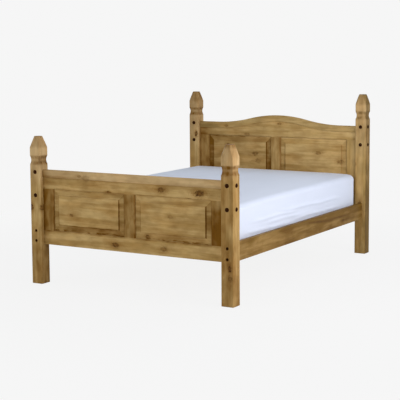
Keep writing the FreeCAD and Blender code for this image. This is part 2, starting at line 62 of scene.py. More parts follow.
# Sizes that the boards share with the joinery, in metres
PANEL_TONGUE = 0.0085
PANEL_BORDER = 0.040
BOLT_SPACING = 0.065
BOLT_SEAT_RADIUS = 0.009

# Where the finial's taper ends and its waist begins and ends, measured down from a post's top
TAPER_FOOT = 0.072
WAIST_TOP = 0.123
WAIST_BOTTOM = 0.183


# Settings that a user may change

class WaxedPine(bpy.types.PropertyGroup):
    """Colours and figure of the pine."""

    pale: bpy.props.FloatVectorProperty(
        name="Pale wood", description="Colour of the early wood, between the rings",
        subtype="COLOR", min=0, max=1, default=(0.69, 0.480, 0.205))
    honey: bpy.props.FloatVectorProperty(
        name="Honey wood", description="Colour of the broad streaks along the grain",
        subtype="COLOR", min=0, max=1, default=(0.54, 0.350, 0.125))
    autumn: bpy.props.FloatVectorProperty(
        name="Late wood", description="Colour of the dark edge of each ring",
        subtype="COLOR", min=0, max=1, default=(0.35, 0.200, 0.052))
    knot: bpy.props.FloatVectorProperty(
        name="Knot", description="Colour of a knot's heart",
        subtype="COLOR", min=0, max=1, default=(0.22, 0.095, 0.016))
    bark: bpy.props.FloatVectorProperty(
        name="Knot ring", description="Colour of the bark ring round a knot's heart",
        subtype="COLOR", min=0, max=1, default=(0.085, 0.033, 0.004))
    halo: bpy.props.FloatVectorProperty(
        name="Knot halo", description="Colour of the resin-rich wood round a knot",
        subtype="COLOR", min=0, max=1, default=(0.31, 0.145, 0.022))
    stain: bpy.props.FloatVectorProperty(
        name="Brown wax", description="Tint that a full coat of brown wax gives the wood",
        subtype="COLOR", min=0, max=1, default=(0.30, 0.190, 0.028))
    dull: bpy.props.FloatVectorProperty(
        name="Dull wax", description="Tint that a full coat of old, greyed wax gives the wood",
        subtype="COLOR", min=0, max=1, default=(0.27, 0.240, 0.130))
    ruddy: bpy.props.FloatVectorProperty(
        name="Ruddy wood", description="Tint of the patches where the wood has reddened",
        subtype="COLOR", min=0, max=1, default=(1.0, 0.88, 0.72))
    rubbed: bpy.props.FloatVectorProperty(
        name="Rubbed wood",
        description="Colour of the posts' tops and the foot cap, where hands have rubbed the wax thin",
        subtype="COLOR", min=0, max=1, default=(0.66, 0.470, 0.277))
    ring_gap: bpy.props.FloatProperty(
        name="Ring gap", description="Distance from one growth ring to the next",
        unit="LENGTH", min=0.001, default=0.0085)
    sway: bpy.props.FloatProperty(
        name="Sway", description="How far the rings wander along a board",
        unit="LENGTH", min=0, default=0.060)
    arris: bpy.props.FloatProperty(
        name="Rubbed edge", description="Radius to which the posts' sharp edges are rubbed",
        unit="LENGTH", min=0, default=0.006)
    sheen: bpy.props.FloatProperty(
        name="Roughness", description="Roughness of the rubbed wax",
        min=0, max=1, default=0.48)


class Ironwork(bpy.types.PropertyGroup):
    """Colours of the iron studs and bolts and of the plated fittings."""

    black: bpy.props.FloatVectorProperty(
        name="Black iron", description="Colour of the blackened iron",
        subtype="COLOR", min=0, max=1, default=(0.024, 0.0060, 0.0008))
    rust: bpy.props.FloatVectorProperty(
        name="Rust", description="Colour of the patches where the iron has rusted",
        subtype="COLOR", min=0, max=1, default=(0.056, 0.018, 0.003))
    zinc: bpy.props.FloatVectorProperty(
        name="Dull zinc", description="Colour of the plating where it has dulled",
        subtype="COLOR", min=0, max=1, default=(0.42, 0.42, 0.40))
    bright: bpy.props.FloatVectorProperty(
        name="Bright zinc", description="Colour of the plating where it is bright",
        subtype="COLOR", min=0, max=1, default=(0.58, 0.57, 0.53))


class MadeBed(bpy.types.PropertyGroup):
    """Shape and colour of the mattress and its fitted sheet."""

    sheet: bpy.props.FloatVectorProperty(
        name="Sheet", description="Colour of the white cotton sheet",
        subtype="COLOR", min=0, max=1, default=(0.735, 0.800, 0.940))
    ticking: bpy.props.FloatVectorProperty(
        name="Ticking", description="Colour of the mattress cover under the sheet",
        subtype="COLOR", min=0, max=1, default=(0.66, 0.65, 0.61))
    corner: bpy.props.FloatProperty(
        name="Corner radius", description="Radius of the mattress's corners in plan",
        unit="LENGTH", min=0, default=0.055)
    top_edge: bpy.props.FloatProperty(
        name="Top edge radius", description="Radius of the edge round the mattress's top",
        unit="LENGTH", min=0, default=0.030)
    bottom_edge: bpy.props.FloatProperty(
        name="Bottom edge radius", description="Radius of the edge round the mattress's underside",
        unit="LENGTH", min=0, default=0.030)
    crown: bpy.props.FloatProperty(
        name="Crown", description="How far the middle of the top stands above its edges",
        unit="LENGTH", min=0, default=0.014)
    crown_reach: bpy.props.FloatProperty(
        name="Crown reach", description="How far in from the edge the top goes on rising",
        unit="LENGTH", min=0, default=0.330)
    draw: bpy.props.FloatProperty(
        name="Side draw", description="How far the sides pull in between the corners",
        unit="LENGTH", min=0, default=0.004)
    slump: bpy.props.FloatProperty(
        name="Slump", description="How far the top sinks at its right and foot edges",
        unit="LENGTH", min=0, default=0.017)
    ripple: bpy.props.FloatProperty(
        name="Ripple", description="Depth of the broad ripples in the top",
        unit="LENGTH", min=0, default=0.003)
    crease: bpy.props.FloatProperty(
        name="Crease",
        description="How far the slack folds of the sheet's sides stand out before they settle",
        unit="LENGTH", min=0, default=0.006)
    settling: bpy.props.IntProperty(
        name="Settling", description="Number of steps in which the sheet settles under its own weight",
        min=1, default=12)
    tuck: bpy.props.FloatProperty(
        name="Tuck", description="How far the sheet reaches in under the mattress",
        unit="LENGTH", min=0, default=0.130)
    weave: bpy.props.FloatVectorProperty(
        name="Sheet steps", description="Size of the sheet's mesh along the three axes",
        subtype="XYZ_LENGTH", min=0.004, default=(0.0135, 0.0135, 0.006))


class Studio(bpy.types.PropertyGroup):
    """The camera, the floor and the lights."""

    eye: bpy.props.FloatVectorProperty(
        name="Camera", description="Where the camera stands",
        subtype="TRANSLATION", unit="LENGTH", default=(3.937, -6.820, 1.529))
    turn: bpy.props.FloatProperty(
        name="Turn", description="How far the camera is turned to the left of straight ahead",
        subtype="ANGLE", default=math.radians(30.565))
    dip: bpy.props.FloatProperty(
        name="Dip", description="How far the camera looks down",
        subtype="ANGLE", default=math.radians(6.124))
    roll: bpy.props.FloatProperty(
        name="Roll", description="How far the camera leans to its right",
        subtype="ANGLE", default=math.radians(0.376))
    lens: bpy.props.FloatProperty(
        name="Lens", description="Focal length, in millimetres on a 36 mm sensor",
        unit="CAMERA", min=1, default=103.18)
    shift: bpy.props.FloatVectorProperty(
        name="Shift",
        description="How far the picture's middle lies from the lens's axis, as a share of its width",
        size=2, default=(0.0009, -0.0777))
    paper: bpy.props.FloatProperty(
        name="Paper", description="Brightness of the pale floor and backdrop",
        min=0, max=1, default=0.921)
    sky: bpy.props.FloatProperty(
        name="Sky", description="Strength of the even light from all round",
        min=0, default=0.43)
    sky_tint: bpy.props.FloatVectorProperty(
        name="Sky tint", description="Colour of the even light from all round",
        subtype="COLOR", min=0, max=1, default=(0.91, 0.96, 1.0))
    key_tint: bpy.props.FloatVectorProperty(
        name="Key tint", description="Colour of the soft light at the bed's right",
        subtype="COLOR", min=0, max=1, default=(1.0, 0.95, 0.95))
    key: bpy.props.FloatProperty(
        name="Key light", description="Power of the soft light at the bed's right",
        unit="POWER", min=0, default=76)
    fill: bpy.props.FloatProperty(
        name="Fill light", description="Power of the soft light in front of the bed",
        unit="POWER", min=0, default=70)
    rim: bpy.props.FloatProperty(
        name="Back light", description="Power of the weak light behind the headboard",
        unit="POWER", min=0, default=46)


# Shader nodes

class Value:
    """What one socket gives. Arithmetic on it adds Math nodes."""

    def __init__(self, finish, socket):
        self.finish = finish
        self.socket = socket

    def math(self, operation, *others):
        return self.finish.node("Math", {"operation": operation}, dict(enumerate((self,) + others)))

    def __add__(self, other):
        return self.math("ADD", other)

    __radd__ = __add__

    def __sub__(self, other):
        return self.math("SUBTRACT", other)

    def __rsub__(self, other):
        return self.finish.node("Math", {"operation": "SUBTRACT"}, {0: other, 1: self})

    def __mul__(self, other):
        return self.math("MULTIPLY", other)

    __rmul__ = __mul__

    def __truediv__(self, other):
        return self.math("DIVIDE", other)

    def __pow__(self, other):
        return self.math("POWER", other)

    def __abs__(self):
        return self.math("ABSOLUTE")

    def most(self, other):
        return self.math("MAXIMUM", other)

    def fraction(self):
        return self.math("FRACT")

    def ramp(self, start, end):
        """0 at start and 1 at end, easing in and out."""
        settings = {"interpolation_type": "SMOOTHSTEP"}
        return self.finish.node("MapRange", settings, {"Value": self, "From Min": start, "From Max": end})


class Finish:
    """The nodes of one material, or of the world."""

    def __init__(self, owner):
        owner.use_nodes = True
        self.tree = owner.node_tree
        self.tree.nodes.clear()

    def node(self, kind, settings=None, sockets=None, output=0):
        """Add a node with its settings and its sockets' values or links. Gives what its outputs hold."""
        made = self.tree.nodes.new("ShaderNode" + kind)
        for name, setting in (settings or {}).items():
            setattr(made, name, setting)
        for name, value in (sockets or {}).items():
            if isinstance(value, Value):
                self.tree.links.new(value.socket, made.inputs[name])
            else:
                made.inputs[name].default_value = value
        if isinstance(output, tuple):
            return tuple(Value(self, made.outputs[name]) for name in output)
        return Value(self, made.outputs[output]) if made.outputs else None

    def blend(self, factor, first, second, way="MIX"):
        """One colour over another."""
        first, second = (c if isinstance(c, Value) else (*c, 1.0) for c in (first, second))
        settings = {"data_type": "RGBA", "blend_type": way}
        return self.node("Mix", settings, {0: factor, 6: first, 7: second}, output=2)

    def noise(self, place, rates, shift, detail=2.0):
        """Noise from 0 to 1 that changes at the given rates along the three axes."""
        moved = self.node("Mapping", {}, {"Vector": place, "Location": (shift,) * 3, "Scale": rates})
        return self.node("TexNoise", {}, {"Vector": moved, "Scale": 1.0, "Detail": detail})

    def surface(self, colour, roughness, height, depth, arris=0.0, **plain):
        """The shader of a surface, with sharp edges rubbed round and plain numbers for other sockets."""
        relief = {"Strength": 1.0, "Distance": depth, "Height": height}
        if arris:
            relief["Normal"] = self.node("Bevel", {"samples": 6}, {"Radius": arris})
        normal = self.node("Bump", {}, relief)
        sockets = {"Base Color": colour, "Roughness": roughness, "Normal": normal}
        sockets.update({name.replace("_", " "): value for name, value in plain.items()})
        shader = self.node("BsdfPrincipled", {}, sockets)
        self.node("OutputMaterial", {}, {"Surface": shader})


def material(name):
    """A new material and its empty nodes."""
    made = bpy.data.materials.new(name)
    return made, Finish(made)


def wear(node, made):
    """Give a node of the frame its finish."""
    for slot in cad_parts[node].material_slots:
        slot.material = made


# Pine

# What the fields of a board hold:
# grain: the axes along the grain, across the face and into the wood
# stain: how much brown wax the board holds
# knots: each by the two axes of the face, where its heart is on them, its radius and how dark it is
# wax: lines of dark wax and of painted shade, each by its axis, the side it is measured from (-1 low, 1
# high), how far in it lies, its reach and its strength
# tone: broad changes in how dark the wood is, each by its axis, its side, how far in it starts and is full,
# and its amount; the posts' changes towards the floor and the side rails' are painted shade
# pith: how far the tree's heart lies from the board's middle, across the face and into the wood
# border: how much dark wax and painted shade a panel's sunk border holds at its left, right, bottom and top
# edges: how strong the lines of dark wax and painted shade are at the left and the right of a panel's
# raised field
# rubbed: how far down from the board's top the rubbed wood starts and is full, and its share
# turned: painted shade on a post's faces that look to the right, painted light where it is below 0
# ruddy: share of reddened wood
# blotch: how fast the blotches of wax change along the grain
# dull: share of the wax that has greyed; on the side rails it also paints shade, greying and darkening wood
# that lies out of the light
# streaks: dark streaks in the grain, each by the two axes of the face, where its middle is on them, half
# its length, half its width, how far it leans off the grain and how dark it is
Board = namedtuple(
    "Board", "grain stain knots wax tone pith border edges rubbed turned ruddy blotch dull streaks",
    defaults=((), (), (), (0.02, 0.09), (0.0,) * 4, (1.0, 1.0), None, 0.0, 0.5, 12.0, 0.0, ()))

# The grain of boards that lie across the bed, stand upright or run along the bed
LYING = "xzy"
STANDING = "zxy"
LENGTHWISE = "yzx"

# Lines and changes of wax and painted shade that several boards share
# Dark wax and painted shade in each finial's waist, under the block's overhang and above the shoulder
WAIST_WAX_AND_SHADE = (("z", 1, WAIST_TOP + 0.011, 0.018, 0.42), ("z", 1, WAIST_BOTTOM - 0.013, 0.021, 0.48))
# Lines along the panel openings' edges on the rails and stiles: dark wax with painted shade in the recess
OPENING_TOP = ("z", -1, 0.003, 0.006, 0.10)
OPENING_BOTTOM = ("z", 1, 0.004, 0.009, 0.50)
RIGHT_EDGE = ("x", 1, 0.002, 0.008, 0.26)
LEFT_EDGE = ("x", -1, 0.002, 0.008, 0.26)
LEFT_END = ("x", -1, 0.110, 0.045, 0.30)

# Over what distance the wax changes at the taper's foot and at the waist's two ends
TAPER_BLUR = 0.016
WAIST_BLUR = 0.006

# Wax on the posts' end grain, dark wax and painted shade in the bolts' seats, how soft a seat's edge is,
# and what the corners lose
END_GRAIN_WAX = 0.7
SEAT_WAX_AND_SHADE = 1.4
SEAT_BLUR = 0.002
CORNER_RUB = 0.16

# How far in from a post's corner, along both faces added up, the rubbing starts and is full
CORNER_RUB_START = 0.011
CORNER_RUB_FULL = 0.005

# How much less a step along the grain counts than one across: in a knot, and again, squared, in its tails
KNOT_ALONG = 0.62
TAIL_ALONG = 0.06

# How much of the darker colours late wood, flowing grain and fibres show, and a knot's halo, heart and bark
LATE_SHARE = 0.34
FLOW_SHARE = 0.10
FIBRE_SHARE = 0.18
HALO_SHARE = 0.50
HEART_SHARE = 0.75
BARK_LEAST = 0.35
BARK_ADDED = 0.60

# How much the wax varies in clouds, in blotches and along the streaks
CLOUD_WAX = 0.18
MOTTLE_WAX = 0.24
STREAK_WAX = 0.06

# How far the rings swell round a knot, and how unsteady a streak is, as a share of its width
KNOT_SWELL = 0.012
STREAK_WOBBLE = 0.3

# A raised panel's dark wax and painted shade: how soft its changes are, and the strength of its lines at
# the sides, top and bottom
MITRE_BLUR = 0.002
TURN_BLUR = 0.010
BORDER_BLUR = 0.004
SIDE_LINE = 0.42
END_STEP_LINE = 0.9
END_REBATE_LINE = 3.2

# Half the width of the full part of those lines, and how far they reach at the field's step and the rebate
LINE_CORE = 0.001
REBATE_CORE = 0.003
SIDE_STEP_REACH = 0.0055
SIDE_REBATE_REACH = 0.0075
END_STEP_REACH = 0.006
END_REBATE_REACH = 0.012

# Depth of the grain's relief, how little the dry wax shines, and how far apart two boards' noises lie
GRAIN_DEPTH = 0.0004
WAX_GLOSS = 0.06
BOARD_SHIFT = 7.3


def finial_tones(taper, block, waist):
    """Changes of wax on a finial's taper, on the block under it and in its waist."""
    changes = (
        (TAPER_FOOT, TAPER_BLUR, taper - block),
        (WAIST_TOP, WAIST_BLUR, block - waist),
        (WAIST_BOTTOM, WAIST_BLUR, waist),
    )
    return [("z", 1, depth + blur, depth - blur, amount) for depth, blur, amount in changes]


BOARDS = {
    # On each post, the tone measured up from the floor darkens the lower leg as painted shade;
    # foot_post_left's tone that lightens its upper part is painted light
    "foot_post_left": Board(
        STANDING, 0.36,
        knots=[("zx", 0.499, -0.739, 0.011, 1.0), ("zx", 0.497, -0.665, 0.009, 0.7),
               ("zx", 0.805, -0.674, 0.011, 0.3)],
        wax=WAIST_WAX_AND_SHADE,
        tone=finial_tones(0.20, -0.24, 0.13) + [("z", -1, 0.40, 0.20, 0.32), ("z", 1, 0.42, 0.24, -0.10)],
        pith=(0.05, 0.06), rubbed=(0.36, 0.18, 0.44)),
    "foot_post_right": Board(
        STANDING, 0.54,
        knots=[("zx", 0.2285, 0.724, 0.010, 1.0), ("zx", 0.165, 0.727, 0.012, 0.5)],
        wax=WAIST_WAX_AND_SHADE,
        tone=finial_tones(-0.16, -0.26, 0.04) + [("z", 1, 0.032, 0.008, 0.32), ("z", -1, 0.50, 0.15, 0.14)],
        pith=(-0.06, 0.05), rubbed=(0.24, 0.12, 0.44), turned=-0.12),
    "head_post_left": Board(
        STANDING, 0.25,
        knots=[("zx", 0.838, -0.687, 0.011, 1.0)],
        wax=WAIST_WAX_AND_SHADE,
        tone=finial_tones(0.43, 0.26, 0.30) + [("z", -1, 0.60, 0.15, 0.15)],
        pith=(0.06, -0.05), rubbed=(0.55, 0.15, 0.5)),
    "head_post_right": Board(
        STANDING, 0.29,
        knots=[("zx", 0.66, 0.668, 0.008, 0.4), ("zx", 0.368, 0.706, 0.011, 0.8)],
        wax=WAIST_WAX_AND_SHADE,
        tone=finial_tones(0.19, -0.12, 0.0) + [("z", -1, 0.60, 0.15, 0.28)],
        pith=(-0.05, -0.07), rubbed=(0.60, 0.10, 0.40), turned=0.56, dull=0.9),
    "foot_bottom_rail": Board(
        LYING, 0.26,
        knots=[("xz", -0.104, 0.299, 0.014, 0.9), ("xz", 0.253, 0.302, 0.014, 0.6)],
        wax=[OPENING_BOTTOM], tone=[LEFT_END]),
    "foot_top_rail": Board(
        LYING, 0.29,
        knots=[("xz", -0.154, 0.626, 0.009, 0.9), ("xz", 0.235, 0.6635, 0.015, 0.8),
               ("xz", 0.504, 0.6586, 0.017, 1.0), ("xz", 0.427, 0.615, 0.008, 0.8),
               ("xz", -0.325, 0.692, 0.012, 0.2)],
        # The second line, along the rail's top under the cap, is painted shade
        wax=[OPENING_TOP, ("z", 1, 0.010, 0.007, 0.16)],
        tone=[LEFT_END, ("z", 1, 0.055, 0.025, 0.06)],
        pith=(-0.03, 0.08)),
    "foot_cap": Board(
        LYING, 0.09,
        knots=[("xz", -0.377, 0.716, 0.008, 0.5), ("xz", -0.325, 0.707, 0.016, 0.25)],
        # The tone along the cap's bottom edge is painted shade, the line between cap and rail
        tone=[("z", -1, 0.020, 0.004, 0.16), ("x", -1, 0.075, 0.015, 0.30), ("x", -1, 0.42, 0.22, 0.26)],
        pith=(0.03, 0.07), rubbed=(0.10, 0.06, 0.42)),
    # On the outer stiles, the line at the side that meets a post is dark wax and painted shade, the post's
    # contact shadow
    "foot_stile_left": Board(
        STANDING, 0.78,
        wax=[RIGHT_EDGE, ("x", -1, 0.0, 0.012, 0.5)],
        tone=[("x", -1, 0.085, 0.01, 0.16)]),
    "foot_stile_middle": Board(STANDING, 0.68, wax=[RIGHT_EDGE, LEFT_EDGE]),
    "foot_stile_right": Board(
        STANDING, 1.06,
        wax=[LEFT_EDGE, ("x", 1, 0.0, 0.012, 0.4)],
        tone=[("z", 1, 0.09, 0.02, -0.40), ("x", -1, 0.065, 0.005, -0.13)]),
    "foot_panel_left": Board(
        LYING, 0.30,
        knots=[("xz", -0.442, 0.461, 0.009, 0.6)],
        pith=(0.01, 0.10), border=(0.22, 0.24, 0.34, 0.01), edges=(1.0, 1.2)),
    "foot_panel_right": Board(
        LYING, 0.30,
        knots=[("xz", 0.129, 0.3695, 0.009, 0.75), ("xz", 0.298, 0.5036, 0.012, 0.3)],
        pith=(-0.04, 0.10), border=(0.15, 0.28, 0.14, -0.03), edges=(1.3, 2.0)),
    "head_bottom_rail": Board(
        LYING, 0.45,
        knots=[("xz", 0.18, 0.306, 0.010, 1.0)],
        wax=[OPENING_BOTTOM]),
    "head_top_rail": Board(
        LYING, 0.33,
        knots=[("xz", -0.243, 0.846, 0.012, 0.4), ("xz", 0.035, 0.936, 0.009, 0.5)],
        # The line along the opening's top edge is dark wax with painted shade
        wax=[("z", -1, 0.004, 0.009, 0.18)],
        tone=[("x", -1, 0.160, 0.060, 0.42), ("x", 1, 1.15, 0.25, -0.235)],
        pith=(0.03, 0.09)),
    "head_crest_cap": Board(
        LYING, 0.30,
        knots=[("xz", -0.427, 0.908, 0.008, 0.5)],
        tone=[("x", -1, 0.30, 0.02, 0.22), ("x", 1, 0.50, 0.10, 0.14)],
        pith=(-0.03, 0.10), dull=0.9),
    # On the head's outer stiles too, the line at the side that meets a post is dark wax and painted shade,
    # the post's contact shadow
    "head_stile_left": Board(STANDING, 0.69, wax=[RIGHT_EDGE, ("x", -1, 0.0, 0.012, 0.5)]),
    "head_stile_middle": Board(STANDING, 0.48, wax=[RIGHT_EDGE, LEFT_EDGE]),
    "head_stile_right": Board(STANDING, 0.12, wax=[LEFT_EDGE, ("x", 1, 0.0, 0.014, 0.9)], dull=0.8),
    "head_panel_left": Board(
        LYING, 0.54,
        knots=[("xz", -0.415, 0.762, 0.009, 0.8), ("xz", -0.174, 0.700, 0.014, 0.55),
               ("xz", -0.149, 0.643, 0.016, 0.35)],
        tone=[("x", 1, 0.34, 0.14, -0.24)],
        pith=(0.04, 0.10), border=(0.46, 0.48, 0.20, 0.05)),
    "head_panel_right": Board(
        LYING, 0.23,
        knots=[("xz", 0.3576, 0.725, 0.012, 0.5), ("xz", 0.536, 0.6675, 0.014, 0.5)],
        tone=[("z", 1, 0.15, 0.09, -0.10)],
        pith=(-0.02, 0.10), border=(0.10, 0.06, 0.12, -0.04), edges=(2.2, 0.2)),
    # The side rails' darkening towards the head end is painted shade, the band along the top edge is dark
    # wax and painted shade from the mattress above, and their heavy stain and greyed wax also paint shade
    "side_rail_left": Board(
        LENGTHWISE, 0.74,
        knots=[("yz", 0.35, 0.300, 0.012, 0.8), ("yz", -0.42, 0.325, 0.010, 0.8)],
        tone=[("y", 1, 1.9, 0.9, 0.22), ("z", 1, 0.060, 0.0, 0.22)],
        ruddy=0.1, blotch=4.0, dull=0.6),
    "side_rail_right": Board(
        LENGTHWISE, 0.74,
        knots=[("yz", 0.62, 0.292, 0.008, 0.3)],
        tone=[("y", 1, 1.9, 0.8, 0.20), ("z", 1, 0.060, 0.0, 0.20)],
        ruddy=0.1, blotch=4.0, dull=0.6,
        streaks=[("yz", 0.20, 0.339, 0.34, 0.016, -0.080, 0.9),
                 ("yz", 0.56, 0.324, 0.30, 0.014, -0.010, 0.7),
                 ("yz", 0.63, 0.292, 0.16, 0.012, 0.0, 0.6),
                 ("yz", 0.08, 0.303, 0.20, 0.010, 0.0, 0.4)]),
}


def figure(finish, place, grain, shift, along, across, detail=2.0):
    """Noise that is drawn out along the grain."""
    rates = [along if letter == grain[0] else across for letter in AXES]
    return finish.noise(place, rates, shift, detail)


def board_noises(finish, place, board, shift):
    """The noises that one board's wood and wax are made of."""
    def drawn(move, along, across, detail=2.0):
        return figure(finish, place, board.grain, shift + move, along, across, detail)

    def even(move, rate, detail):
        return finish.noise(place, (rate,) * 3, shift + move, detail)

    return SimpleNamespace(
        sway=drawn(0, 1.6, 7.0) - 0.5,
        streak=drawn(11, 2.6, 30.0).ramp(0.34, 0.66),
        flow=drawn(17, 5.0, 85.0, 3.0).ramp(0.32, 0.68),
        fibre=drawn(23, 16.0, 620.0, 3.0),
        dash=drawn(53, 15.0, 40.0, 3.0).ramp(0.48, 0.66),
        mottle=drawn(61, board.blotch, 27.0, 4.0).ramp(0.34, 0.68),
        ruddy=drawn(83, 4.0, 14.0, 3.0).ramp(0.42, 0.68),
        cloud=even(37, 6.0, 3.0).ramp(0.3, 0.7),
        wobble=(even(41, 95.0, 3.0) - 0.5) * 1.7,
        stroke=even(71, 75.0, 2.0).ramp(0.42, 0.60))


def knot_marks(at, wobble, knots):
    """How strongly the knots' halo, bark ring and heart show at a point. None where there are no knots."""
    marks = None
    for face, first, second, radius, strength in knots:
        along = (at[face[0]] - first) * (KNOT_ALONG / radius)
        across = (at[face[1]] - second) * (1 / radius)
        distance = (along * along + across * across) ** 0.5 + wobble
        drawn = (along * along * TAIL_ALONG + across * across) ** 0.5 + wobble
        halo = (distance.ramp(3.0, 0.7) + drawn.ramp(1.1, 0.2) * 0.5) * strength
        ring = distance.ramp(1.35, 0.95) * distance.ramp(0.15, 0.75) * strength
        heart = distance.ramp(1.0, 0.4) * strength
        new = (halo, ring, heart)
        marks = new if marks is None else tuple(old.most(mark) for old, mark in zip(marks, new))
    return marks


def wood_colour(finish, at, board, top, noises, late, marks):
    """Bare wood: rings, fibres, streaks, rubbed and reddened places, and knots."""
    look = bpy.context.scene.waxed_pine
    colour = finish.blend(noises.streak, look.pale, look.honey)
    colour = finish.blend(late * LATE_SHARE + noises.flow * FLOW_SHARE, colour, look.autumn)
    colour = finish.blend(noises.fibre.ramp(0.62, 0.30) * FIBRE_SHARE, colour, look.autumn)
    for face, first, second, length, width, lean, strength in board.streaks:
        along = at[face[0]] - first
        aside = abs(at[face[1]] - second - along * lean + noises.wobble * (width * STREAK_WOBBLE))
        mark = abs(along).ramp(length, 0.0) * aside.ramp(width, 0.0) * strength
        colour = finish.blend(mark, colour, look.autumn)
    if board.rubbed:
        start, full, share = board.rubbed
        colour = finish.blend((top - at["z"]).ramp(start, full) * share, colour, look.rubbed)
    if marks:
        halo, ring, heart = marks
        colour = finish.blend(halo * HALO_SHARE, colour, look.halo)
        colour = finish.blend(heart * HEART_SHARE, colour, look.knot)
        colour = finish.blend(ring * (noises.stroke * BARK_ADDED + BARK_LEAST), colour, look.bark)
    return finish.blend(noises.ruddy * board.ruddy, colour, look.ruddy, "MULTIPLY")


def field_wax_and_shade(at, node, board, dash, cloud):
    """Dark wax and painted shade in a raised panel's sunk border, with a line along each of the border's
    edges.
    """
    low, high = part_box(node)
    middle = (low + high) / 2
    half = (high - low) / 2
    edge = PANEL_TONGUE + PANEL_BORDER
    left, right, bottom, top = board.border
    left_line, right_line = board.edges
    over_x = abs(at["x"] - middle.x) - (half.x - edge)
    over_z = abs(at["z"] - middle.z) - (half.z - edge)
    mitre = (over_x - over_z).ramp(-MITRE_BLUR, MITRE_BLUR)
    rightward = (at["x"] - middle.x).ramp(-TURN_BLUR, TURN_BLUR)
    upward = (at["z"] - middle.z).ramp(-TURN_BLUR, TURN_BLUR)
    broad = cloud * 0.6 + 0.7

    band = (rightward * (right - left) + left) * broad
    strength = (rightward * (right_line - left_line) + left_line) * SIDE_LINE
    step = abs(over_x - LINE_CORE).ramp(SIDE_STEP_REACH, LINE_CORE) * strength
    rebate = abs(over_x - PANEL_BORDER).ramp(SIDE_REBATE_REACH, LINE_CORE) * SIDE_LINE
    sides = over_x.ramp(-BORDER_BLUR, 0.0) * mitre * (band + (step + rebate) * (dash * 0.6 + 0.55))

    band = upward * (top - bottom) + bottom
    step = abs(over_z - LINE_CORE).ramp(END_STEP_REACH, LINE_CORE) * END_STEP_LINE
    inset = PANEL_BORDER - REBATE_CORE
    rebate = abs(over_z - inset).ramp(END_REBATE_REACH, REBATE_CORE) * END_REBATE_LINE
    lines = (step + rebate) * dash * (band + 0.06)
    ends = over_z.ramp(-BORDER_BLUR, 0.0) * (1 - mitre) * (band * broad + lines)
    return sides + ends


def bolt_seat_shade(at):
    """Dark wax and painted shade in the seats of the bed bolts."""
    low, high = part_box("side_rail_right")
    middle = (low + high) / 2
    aside = abs(at["x"]) - middle.x
    over = abs(at["z"] - middle.z) - BOLT_SPACING / 2
    distance = (aside * aside + over * over) ** 0.5
    return distance.ramp(BOLT_SEAT_RADIUS + SEAT_BLUR, BOLT_SEAT_RADIUS)


def rubbed_corners(at, node):
    """1 along a post's upright corners, where the wax is rubbed thin."""
    low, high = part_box(node)
    middle = (low + high) / 2
    reach = (high.x - low.x + high.y - low.y) / 2
    away = abs(at["x"] - middle.x) + abs(at["y"] - middle.y)
    return away.ramp(reach - CORNER_RUB_START, reach - CORNER_RUB_FULL)


def wax_and_shade_coat(finish, at, node, board, noises):
    """How dark the wax and the painted shade make the wood: in blotches, in broad changes, in lines and in
    the recesses.
    """
    low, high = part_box(node)

    def inward(letter, side):
        face = (high if side > 0 else low)[AXES.index(letter)]
        return (at[letter] - face) * -side

    wax = (noises.cloud - 0.5) * CLOUD_WAX + (noises.mottle - 0.5) * MOTTLE_WAX
    wax = wax + (noises.streak - 0.5) * STREAK_WAX + board.stain
    for letter, side, start, full, amount in board.tone:
        wax = wax + inward(letter, side).ramp(start, full) * amount
    lines = [abs(inward(letter, side) - inset).ramp(reach, 0.0) * strength
             for letter, side, inset, reach, strength in board.wax]
    if lines:
        wax = wax + reduce(Value.most, lines) * (noises.dash * 0.75 + 0.45)
    if "panel" in node:
        wax = wax + field_wax_and_shade(at, node, board, noises.dash, noises.cloud)
    if "post" in node:
        normal = finish.node("TexCoord", output="Normal")
        looks_right, looks_up = finish.node("SeparateXYZ", {}, {0: normal}, output=("X", "Z"))
        # Faces that look to the right get painted shade, or painted light where that share is below 0;
        # faces that look up get wax on their end grain
        wax = wax + looks_right.ramp(0.5, 0.9) * board.turned + looks_up.ramp(0.7, 0.95) * END_GRAIN_WAX
        wax = wax - rubbed_corners(at, node) * noises.flow * CORNER_RUB
        # Dark wax and painted shade in the bolts' seats
        wax = wax.most(bolt_seat_shade(at) * SEAT_WAX_AND_SHADE)
    return wax


def pine(node, board, shift):
    """Waxed pine for one board, with rings about its own pith."""
    look = bpy.context.scene.waxed_pine
    low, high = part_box(node)
    middle = (low + high) / 2
    made, finish = material("pine_" + node)
    place = finish.node("TexCoord", output="Object")
    at = dict(zip(AXES, finish.node("SeparateXYZ", {}, {0: place}, output=("X", "Y", "Z"))))
    noises = board_noises(finish, place, board, shift)
    across, deep = (at[letter] - middle[AXES.index(letter)] - pith
                    for letter, pith in zip(board.grain[1:], board.pith))
    radius = (across * across + deep * deep) ** 0.5 + noises.sway * look.sway
    marks = knot_marks(at, noises.wobble, board.knots)
    if marks:
        radius = radius + marks[0] * marks[0] * KNOT_SWELL
    late = (radius / look.ring_gap).fraction() ** 3.0
    late = late * (noises.flow * 0.8 + 0.2) * (noises.cloud * 0.7 + 0.3)

    colour = wood_colour(finish, at, board, high.z, noises, late, marks)
    # The greyed wax tint, which on the side rails also stands for painted shade
    tint = Vector(look.stain).lerp(look.dull, board.dull)
    colour = finish.blend(wax_and_shade_coat(finish, at, node, board, noises), colour, tint, "MULTIPLY")
    roughness = noises.fibre * 0.12 + late * 0.06 + (look.sheen - 0.06)
    height = noises.fibre * 0.6 - late * 0.4
    arris = look.arris if "post" in node else 0.0
    finish.surface(colour, roughness, height, GRAIN_DEPTH, arris, Specular_IOR_Level=WAX_GLOSS)
    return made


def finish_boards(prefix):
    """Wax every board whose name starts with the prefix, or with one of several."""
    for order, (node, board) in enumerate(BOARDS.items()):
        if node.startswith(prefix):
            wear(node, pine(node, board, order * BOARD_SHIFT))


